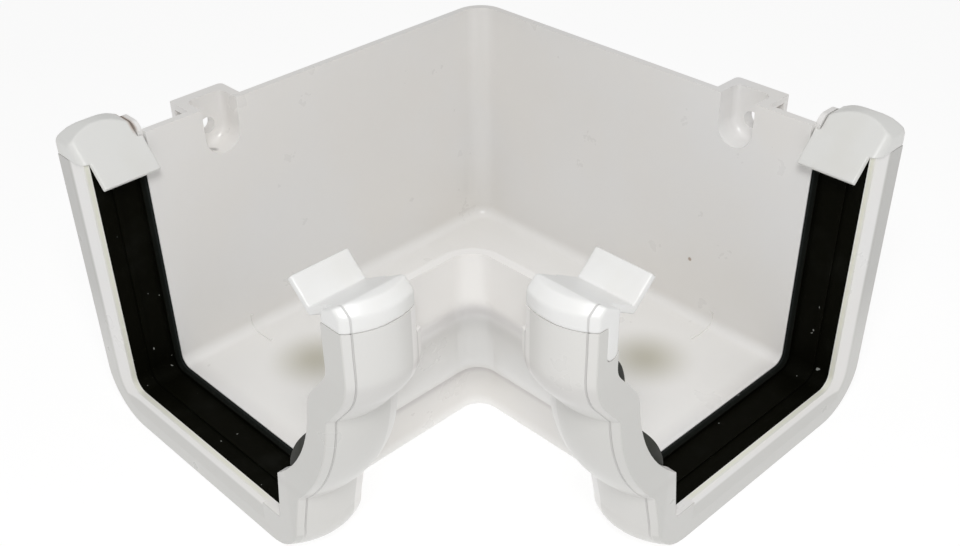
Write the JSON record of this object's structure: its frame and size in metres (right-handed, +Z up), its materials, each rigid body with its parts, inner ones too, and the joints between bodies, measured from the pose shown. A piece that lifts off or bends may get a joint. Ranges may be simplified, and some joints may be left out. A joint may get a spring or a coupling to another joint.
{
  "type": "internal gutter angle",
  "caption": "Internal corner for an ogee rainwater gutter: moulded channel, two sealed and clipped sockets, two screw lugs.",
  "frame": {"origin": "the corner where the two fascia planes behind the gutter meet, at the height of the sockets' underside", "axes": "+Z up; one arm runs along +X with its fascia in the XZ plane, the other along +Y with its fascia in the YZ plane"},
  "size_m": [0.1591, 0.1591, 0.0949],
  "materials": {
    "body": "smooth moulded PVC-U, satin gloss",
    "clips": "smooth moulded PVC-U, satin gloss",
    "seals": "black moulded rubber with fine ribs"
  },
  "bodies": {
    "root": {"body": "body", "seal_left": "seals", "seal_right": "seals", "back_clip_left": "clips", "back_clip_right": "clips", "front_clip_left": "clips", "front_clip_right": "clips"}
  },
  "joints": []
}
